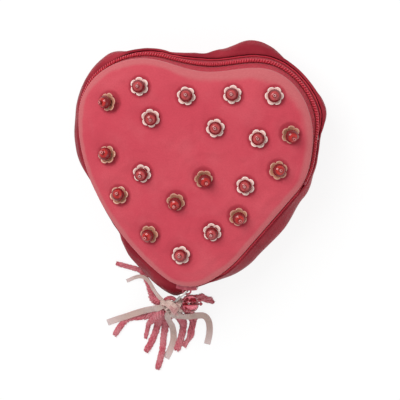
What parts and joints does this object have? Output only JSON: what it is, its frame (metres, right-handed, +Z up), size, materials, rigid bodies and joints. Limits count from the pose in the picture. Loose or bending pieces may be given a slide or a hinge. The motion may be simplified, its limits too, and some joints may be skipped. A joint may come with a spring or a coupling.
{
  "type": "vanity bag",
  "caption": "Heart-shaped zipped vanity bag with a padded velvet lid, sewn-on sequin flowers, a satin wall, a coil zip and a pull with a tassel.",
  "frame": {"origin": "on the flat underside of the back panel, 58 mm from the lid's tip on the heart's axis", "axes": "+Y from the heart's tip to its cleft, +X to the hinge side, +Z up through the lid"},
  "size_m": [0.1327, 0.1878, 0.0559],
  "materials": {
    "velvet": "pink velvet pile",
    "satin": "dark crimson satin",
    "lining": "smooth lining cloth",
    "card": "stiffening board",
    "foam": "open-cell foam",
    "zip_tape": "woven zip tape",
    "zip_coil": "nylon coil",
    "painted_metal": "pink lacquer",
    "nickel": "polished nickel",
    "pearl_sequin": "pearly sequin with red glass beads",
    "clear_glass": "clear",
    "sheer_ribbon": "sheer organza ribbon",
    "chenille_yarn": "chenille yarn"
  },
  "bodies": {
    "bag": {"back_board": "card", "back_cover": "satin", "back_lining": "lining", "bag_zip_coil": "zip_coil", "bag_zip_tape": "zip_tape", "base_binding": "satin", "gusset": "satin", "gusset_lining": "lining", "hinge_strip": "zip_tape", "zip_bottom_stop": "nickel", "zip_top_stop": "nickel"},
    "lid": {"flower_01": "pearl_sequin", "flower_02": "pearl_sequin", "flower_03": "pearl_sequin", "flower_04": "pearl_sequin", "flower_05": "pearl_sequin", "flower_06": "pearl_sequin", "flower_07": "pearl_sequin", "flower_08": "pearl_sequin", "flower_09": "pearl_sequin", "flower_10": "pearl_sequin", "flower_11": "pearl_sequin", "flower_12": "pearl_sequin", "flower_13": "pearl_sequin", "flower_14": "pearl_sequin", "flower_15": "pearl_sequin", "flower_16": "pearl_sequin", "flower_17": "pearl_sequin", "flower_18": "pearl_sequin", "flower_19": "pearl_sequin", "flower_20": "pearl_sequin", "lid_cover": "velvet", "lid_foam": "foam", "lid_board": "card", "lid_lining": "lining", "lid_binding": "satin", "lid_zip_tape": "zip_tape", "lid_zip_coil": "zip_coil"},
    "slider": {"slider_body": "painted_metal"},
    "pull": {"pull_tab": "nickel", "pull_ring": "nickel"},
    "tassel": {"tassel_knot": "sheer_ribbon", "glass_bead": "clear_glass", "bead_thread": "sheer_ribbon", "ribbon_back": "sheer_ribbon", "ribbon_front": "sheer_ribbon", "ribbon_left": "sheer_ribbon", "ribbon_right": "sheer_ribbon", "yarn_far_left": "chenille_yarn", "yarn_far_right": "chenille_yarn", "yarn_front": "chenille_yarn", "yarn_front_left": "chenille_yarn", "yarn_front_right": "chenille_yarn", "yarn_left": "chenille_yarn", "yarn_right": "chenille_yarn", "yarn_short": "chenille_yarn"}
  },
  "joints": [
    {"name": "lid_hinge", "type": "hinge", "parent": "bag", "child": "lid", "pos_m": [0.04024, -0.02184, 0.039], "axis": [0.5807, 0.8141, 0], "range_deg": [0, 130]},
    {"name": "slider_travel", "type": "hinge", "parent": "bag", "child": "slider", "pos_m": [0, -0.037, 0.0347], "axis": [0, 0, -1], "range_deg": [0, 12]},
    {"name": "pull_swing", "type": "hinge", "parent": "slider", "child": "pull", "pos_m": [0, -0.06193, 0.0347], "axis": [0, 0, 1], "range_deg": [0, 80]},
    {"name": "tassel_swing", "type": "hinge", "parent": "pull", "child": "tassel", "pos_m": [-0.00919, -0.07168, 0.0347], "axis": [0, 0, 1], "range_deg": [-40, 0]}
  ],
  "couplings": [
    {"joint": "tassel_swing", "follows": "pull_swing", "ratio": -0.5}
  ]
}
